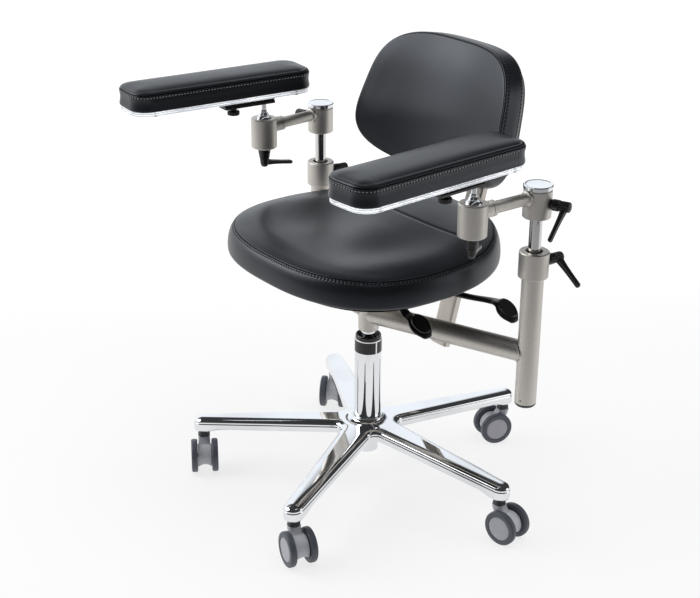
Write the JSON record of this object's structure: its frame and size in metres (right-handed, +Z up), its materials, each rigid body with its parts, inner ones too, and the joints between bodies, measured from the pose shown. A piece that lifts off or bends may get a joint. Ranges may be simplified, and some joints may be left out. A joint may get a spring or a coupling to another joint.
{
  "type": "laboratory chair",
  "caption": "Swivel laboratory chair with a castor star base, gas-lift column, padded seat and back, and two jointed, padded arm rests on side posts.",
  "frame": {"origin": "on the floor under the column axis", "axes": "+Z up along the column, -Y the way the sitter faces, +X to the sitter's left"},
  "size_m": [0.7546, 0.6444, 0.8187],
  "materials": {
    "polished_aluminium": "mirror-polished casting",
    "chrome": "bright chrome plate",
    "satin_nickel": "satin warm nickel colour on aluminium",
    "black_plastic": "black moulded plastic, fine grain",
    "black_leatherette": "black coated upholstery with a soft sheen",
    "castor_grey": "light grey nylon",
    "tread_grey": "dark blue-grey soft tread",
    "clear_acrylic": "clear acrylic with polished edges",
    "seat_board": "black-stained plywood"
  },
  "bodies": {
    "base": {"star_base": "polished_aluminium", "column_tube": "chrome", "column_bush": "black_plastic", "piston_rod": "chrome"},
    "castor_1": {"castor_body_1": "castor_grey"},
    "wheels_1": {"castor_wheels_1": "tread_grey"},
    "castor_2": {"castor_body_2": "castor_grey"},
    "wheels_2": {"castor_wheels_2": "tread_grey"},
    "castor_3": {"castor_body_3": "castor_grey"},
    "wheels_3": {"castor_wheels_3": "tread_grey"},
    "castor_4": {"castor_body_4": "castor_grey"},
    "wheels_4": {"castor_wheels_4": "tread_grey"},
    "castor_5": {"castor_body_5": "castor_grey"},
    "wheels_5": {"castor_wheels_5": "tread_grey"},
    "gas_spring": {"gas_cylinder": "chrome"},
    "seat": {"mechanism": "satin_nickel", "cross_tube_left": "satin_nickel", "cross_tube_right": "satin_nickel", "post_left": "satin_nickel", "post_right": "satin_nickel", "post_plug_left": "black_plastic", "post_plug_right": "black_plastic", "post_collar_left": "satin_nickel", "post_collar_right": "satin_nickel", "seat_board": "seat_board", "seat_cushion": "black_leatherette"},
    "height_lever": {"height_lever": "black_plastic"},
    "tilt_lever": {"tilt_lever": "black_plastic"},
    "back_bracket": {"back_bracket": "satin_nickel"},
    "back_handwheel": {"back_handwheel": "black_plastic"},
    "back": {"back_bar": "satin_nickel", "back_mount": "satin_nickel", "back_shell": "black_plastic", "back_cushion": "black_leatherette"},
    "arm_rod_left": {"arm_rod_left": "chrome"},
    "arm_left": {"arm_knuckle_left": "satin_nickel", "arm_tube_left": "satin_nickel", "ball_housing_left": "satin_nickel"},
    "ball_left": {"ball_left": "chrome"},
    "stud_left": {"ball_stud_left": "chrome"},
    "rail_left": {"pad_rail_left": "black_plastic"},
    "rail_knob_left": {"rail_knob_left": "black_plastic"},
    "pad_left": {"pad_plate_left": "clear_acrylic", "pad_cushion_left": "black_leatherette"},
    "collar_lever_left": {"collar_lever_left": "black_plastic"},
    "knuckle_lever_left": {"knuckle_lever_left": "black_plastic"},
    "ball_lever_left": {"ball_lever_left": "black_plastic"},
    "arm_rod_right": {"arm_rod_right": "chrome"},
    "arm_right": {"arm_knuckle_right": "satin_nickel", "arm_tube_right": "satin_nickel", "ball_housing_right": "satin_nickel"},
    "ball_right": {"ball_right": "chrome"},
    "stud_right": {"ball_stud_right": "chrome"},
    "rail_right": {"pad_rail_right": "black_plastic"},
    "rail_knob_right": {"rail_knob_right": "black_plastic"},
    "pad_right": {"pad_plate_right": "clear_acrylic", "pad_cushion_right": "black_leatherette"},
    "collar_lever_right": {"collar_lever_right": "black_plastic"},
    "knuckle_lever_right": {"knuckle_lever_right": "black_plastic"},
    "ball_lever_right": {"ball_lever_right": "black_plastic"}
  },
  "joints": [
    {"name": "castor_swivel_1", "type": "hinge", "parent": "base", "child": "castor_1", "pos_m": [0.31021, 0.0547, 0.0805], "axis": [0, 0, 1], "continuous": true},
    {"name": "castor_roll_1", "type": "hinge", "parent": "castor_1", "child": "wheels_1", "pos_m": [0.32995, 0.05797, 0.03188], "axis": [-0.1633, 0.9866, 0], "continuous": true},
    {"name": "castor_swivel_2", "type": "hinge", "parent": "base", "child": "castor_2", "pos_m": [0.04384, 0.31193, 0.0805], "axis": [0, 0, 1], "continuous": true},
    {"name": "castor_roll_2", "type": "hinge", "parent": "castor_2", "child": "wheels_2", "pos_m": [0.03697, 0.29315, 0.03188], "axis": [0.9391, -0.3437, 0], "continuous": true},
    {"name": "castor_swivel_3", "type": "hinge", "parent": "base", "child": "castor_3", "pos_m": [-0.28312, 0.13809, 0.0805], "axis": [0, 0, 1], "continuous": true},
    {"name": "castor_roll_3", "type": "hinge", "parent": "castor_3", "child": "wheels_3", "pos_m": [-0.26898, 0.12394, 0.03188], "axis": [0.7071, 0.7071, 0], "continuous": true},
    {"name": "castor_swivel_4", "type": "hinge", "parent": "base", "child": "castor_4", "pos_m": [-0.21882, -0.22659, 0.0805], "axis": [0, 0, 1], "continuous": true},
    {"name": "castor_roll_4", "type": "hinge", "parent": "castor_4", "child": "wheels_4", "pos_m": [-0.20175, -0.23701, 0.03188], "axis": [0.521, 0.8536, 0], "continuous": true},
    {"name": "castor_swivel_5", "type": "hinge", "parent": "base", "child": "castor_5", "pos_m": [0.14788, -0.27813, 0.0805], "axis": [0, 0, 1], "continuous": true},
    {"name": "castor_roll_5", "type": "hinge", "parent": "castor_5", "child": "wheels_5", "pos_m": [0.16736, -0.2827, 0.03188], "axis": [0.2284, 0.9736, 0], "continuous": true},
    {"name": "height_lift", "type": "slide", "parent": "base", "child": "gas_spring", "axis": [0, 0, 1], "range_m": [0, 0.13]},
    {"name": "seat_swivel", "type": "hinge", "parent": "gas_spring", "child": "seat", "pos_m": [0, 0, 0.309], "axis": [0, 0, 1], "continuous": true},
    {"name": "height_lever_pull", "type": "hinge", "parent": "seat", "child": "height_lever", "pos_m": [0.052, -0.015, 0.4], "axis": [0, -1, 0], "range_deg": [0, 10], "stiffness_Nm_per_rad": 2, "springref_deg": -5.73},
    {"name": "tilt_lever_pull", "type": "hinge", "parent": "seat", "child": "tilt_lever", "pos_m": [0.052, 0.07, 0.4], "axis": [0, -1, 0], "range_deg": [0, 10], "stiffness_Nm_per_rad": 2, "springref_deg": -5.73},
    {"name": "back_tilt", "type": "hinge", "parent": "seat", "child": "back_bracket", "pos_m": [0, 0.118, 0.4], "axis": [-1, 0, 0], "range_deg": [-5, 15]},
    {"name": "handwheel_turn", "type": "hinge", "parent": "back_bracket", "child": "back_handwheel", "pos_m": [0, 0.21691, 0.3735], "axis": [0, 0.9659, -0.2588], "continuous": true},
    {"name": "back_rise", "type": "slide", "parent": "back_bracket", "child": "back", "axis": [0, 0.2588, 0.9659], "range_m": [-0.03, 0.105]},
    {"name": "arm_height_left", "type": "slide", "parent": "seat", "child": "arm_rod_left", "axis": [0, 0, 1], "range_m": [-0.025, 0.08]},
    {"name": "arm_swing_left", "type": "hinge", "parent": "arm_rod_left", "child": "arm_left", "pos_m": [0.3005, 0.114, 0.628], "axis": [0, 0, 1], "range_deg": [-15, 90]},
    {"name": "ball_pitch_left", "type": "hinge", "parent": "arm_left", "child": "ball_left", "pos_m": [0.29777, -0.02797, 0.638], "axis": [0.9998, -0.0192, 0], "range_deg": [-12, 12]},
    {"name": "ball_roll_left", "type": "hinge", "parent": "ball_left", "child": "stud_left", "pos_m": [0.29777, -0.02797, 0.638], "axis": [-0.0192, -0.9998, 0], "range_deg": [-12, 12]},
    {"name": "rail_turn_left", "type": "hinge", "parent": "stud_left", "child": "rail_left", "pos_m": [0.29777, -0.02797, 0.676], "axis": [0, 0, -1], "range_deg": [-90, 90]},
    {"name": "rail_knob_turn_left", "type": "hinge", "parent": "rail_left", "child": "rail_knob_left", "pos_m": [0.30146, -0.09187, 0.676], "axis": [0, 0, 1], "continuous": true},
    {"name": "pad_slide_left", "type": "slide", "parent": "rail_left", "child": "pad_left", "axis": [0.0576, -0.9983, 0], "range_m": [-0.05, 0.05]},
    {"name": "collar_lever_turn_left", "type": "hinge", "parent": "seat", "child": "collar_lever_left", "pos_m": [0.3005, 0.114, 0.509], "axis": [0.1045, 0.9945, 0], "range_deg": [-60, 60]},
    {"name": "knuckle_lever_turn_left", "type": "hinge", "parent": "arm_left", "child": "knuckle_lever_left", "pos_m": [0.3005, 0.114, 0.618], "axis": [0.9205, 0.3907, 0], "range_deg": [-60, 60]},
    {"name": "ball_lever_turn_left", "type": "hinge", "parent": "arm_left", "child": "ball_lever_left", "pos_m": [0.29777, -0.02797, 0.589], "axis": [0, 0, -1], "range_deg": [-60, 60]},
    {"name": "arm_height_right", "type": "slide", "parent": "seat", "child": "arm_rod_right", "axis": [0, 0, 1], "range_m": [-0.025, 0.08]},
    {"name": "arm_swing_right", "type": "hinge", "parent": "arm_rod_right", "child": "arm_right", "pos_m": [-0.3005, 0.114, 0.628], "axis": [0, 0, -1], "range_deg": [-15, 90]},
    {"name": "ball_pitch_right", "type": "hinge", "parent": "arm_right", "child": "ball_right", "pos_m": [-0.28936, -0.02756, 0.638], "axis": [0.9969, 0.0785, 0], "range_deg": [-12, 12]},
    {"name": "ball_roll_right", "type": "hinge", "parent": "ball_right", "child": "stud_right", "pos_m": [-0.28936, -0.02756, 0.638], "axis": [0.0785, -0.9969, 0], "range_deg": [-12, 12]},
    {"name": "rail_turn_right", "type": "hinge", "parent": "stud_right", "child": "rail_right", "pos_m": [-0.28936, -0.02756, 0.676], "axis": [0, 0, 1], "range_deg": [-90, 90]},
    {"name": "rail_knob_turn_right", "type": "hinge", "parent": "rail_right", "child": "rail_knob_right", "pos_m": [-0.29605, -0.09121, 0.676], "axis": [0, 0, 1], "continuous": true},
    {"name": "pad_slide_right", "type": "slide", "parent": "rail_right", "child": "pad_right", "axis": [-0.1045, -0.9945, 0], "range_m": [-0.05, 0.05]},
    {"name": "collar_lever_turn_right", "type": "hinge", "parent": "seat", "child": "collar_lever_right", "pos_m": [-0.3005, 0.114, 0.509], "axis": [0.1045, 0.9945, 0], "range_deg": [-60, 60]},
    {"name": "knuckle_lever_turn_right", "type": "hinge", "parent": "arm_right", "child": "knuckle_lever_right", "pos_m": [-0.3005, 0.114, 0.618], "axis": [-0.9659, -0.2588, 0], "range_deg": [-60, 60]},
    {"name": "ball_lever_turn_right", "type": "hinge", "parent": "arm_right", "child": "ball_lever_right", "pos_m": [-0.28936, -0.02756, 0.589], "axis": [0, 0, -1], "range_deg": [-60, 60]}
  ]
}
